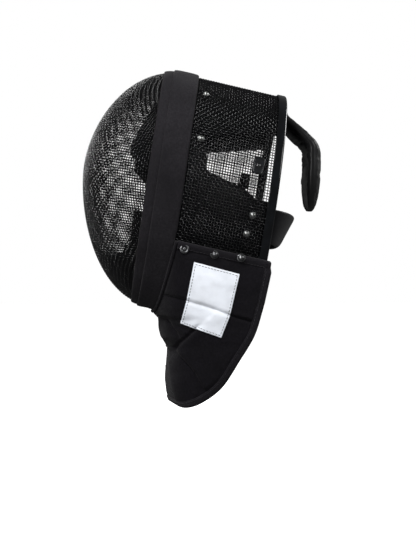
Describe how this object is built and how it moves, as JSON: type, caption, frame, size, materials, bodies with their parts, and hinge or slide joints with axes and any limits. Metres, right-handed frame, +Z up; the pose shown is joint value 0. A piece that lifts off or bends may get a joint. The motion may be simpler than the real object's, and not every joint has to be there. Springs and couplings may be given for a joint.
{
  "type": "fencing mask with bib",
  "caption": "Woven wire fencing mask with a covered trim band, padded lining, glossy rear rim, spring tongue, back strap and a padded cloth bib with a bare white label.",
  "frame": {"origin": "where the underside of the crown lining rests on the head, on the midline", "axes": "+Z up as worn, the face looks along -Y, the wearer's left is +X"},
  "size_m": [0.202, 0.2769, 0.388],
  "materials": {
    "front_wire": "black enamelled woven wire",
    "side_wire": "black enamelled woven wire",
    "band_cloth": "matt woven cloth, slightly purple black",
    "rim": "glossy black channel",
    "bib_cloth": "matt woven cloth over padding",
    "hem_tape": "woven binding tape",
    "lining": "matt black padded lining",
    "label": "white woven label, bare",
    "tongue_cover": "smooth coated black cloth",
    "strap": "smooth black webbing",
    "rivet": "worn black steel head",
    "dark_stud": "black painted steel head",
    "plate": "glossy black moulded plate"
  },
  "bodies": {
    "root": {"front_mesh": "front_wire", "side_mesh": "side_wire", "trim_band": "band_cloth", "rear_rim": "rim", "bib": "bib_cloth", "bib_hem": "hem_tape", "bib_piping": "hem_tape", "crown_pad": "lining", "cheek_pad_left": "lining", "cheek_pad_right": "lining", "brow_pad": "lining", "chin_pad": "lining", "label": "label", "tongue": "tongue_cover", "back_strap": "strap", "rivet_crown_left": "rivet", "rivet_temple_left": "rivet", "rivet_rear_upper_left": "rivet", "rivet_rear_lower_left": "rivet", "bib_snap_left": "dark_stud", "bib_rivet_front_left": "dark_stud", "bib_rivet_rear_left": "dark_stud", "strap_plate_left": "plate", "rivet_crown_right": "rivet", "rivet_temple_right": "rivet", "rivet_rear_upper_right": "rivet", "rivet_rear_lower_right": "rivet", "bib_snap_right": "dark_stud", "bib_rivet_front_right": "dark_stud", "bib_rivet_rear_right": "dark_stud", "strap_plate_right": "plate"}
  },
  "joints": []
}
